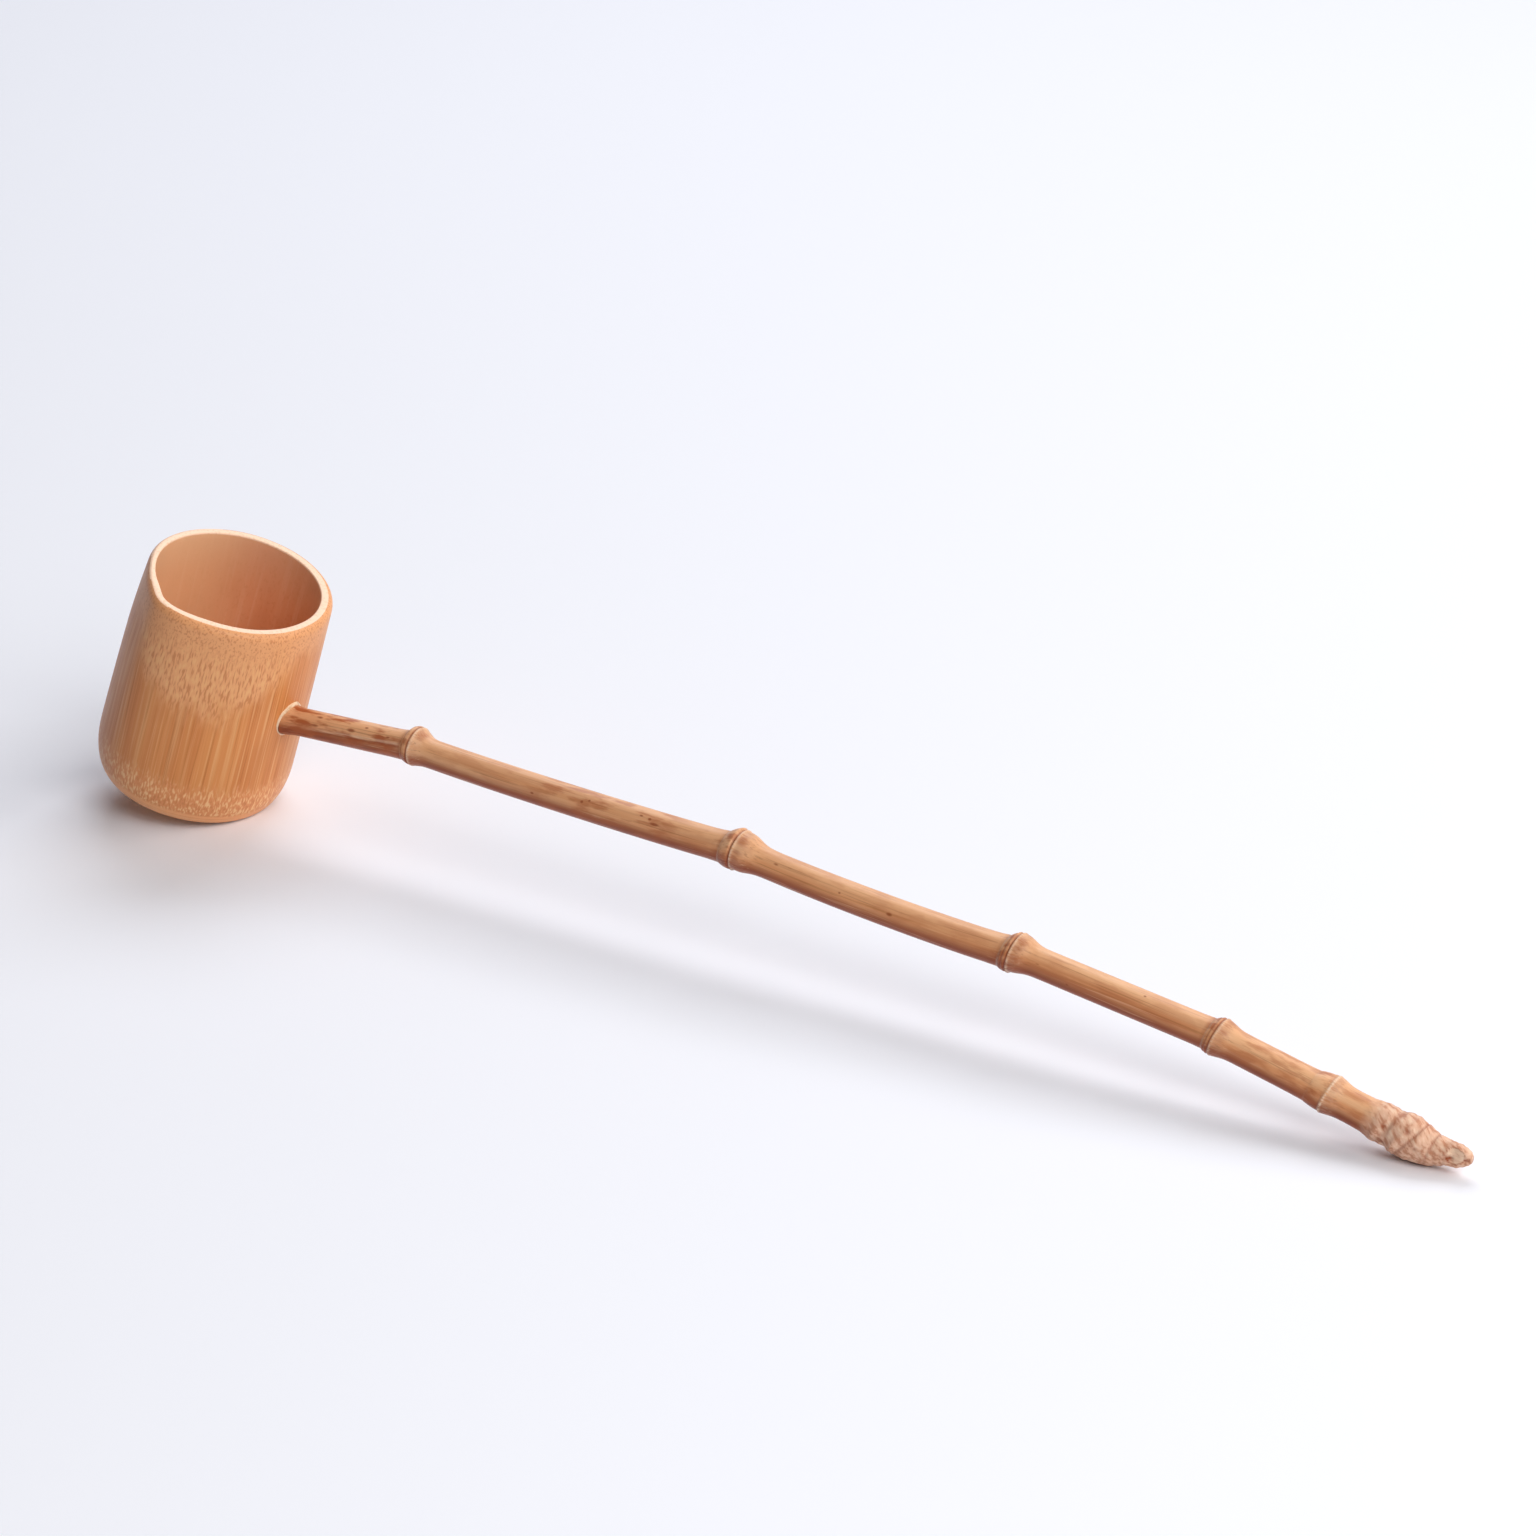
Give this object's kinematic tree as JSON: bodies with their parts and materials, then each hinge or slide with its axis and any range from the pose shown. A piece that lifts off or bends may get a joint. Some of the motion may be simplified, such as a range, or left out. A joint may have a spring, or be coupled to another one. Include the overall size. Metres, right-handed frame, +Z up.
{
  "type": "water dipper",
  "caption": "Water dipper: a deep cup cut from a thick culm, its node for a floor, with a long thin root-end culm handle tenoned and wedged through the cup's wall.",
  "frame": {"origin": "on the table, under the middle of the resting dipper's box", "axes": "+X along the handle from the cup to the root end, +Z up from the table, +Y to the left of +X"},
  "size_m": [0.47, 0.0632, 0.0856],
  "materials": {
    "cup_culm": "smoked, skin scraped off, satin",
    "handle_culm": "smoked, natural skin, satin",
    "split_culm": "split and shaved, matt",
    "hardened_glue": "hardened glue, satin"
  },
  "bodies": {
    "root": {"cup": "cup_culm", "handle": "handle_culm", "tenon_wedge": "split_culm", "joint_bead": "hardened_glue"}
  },
  "joints": []
}
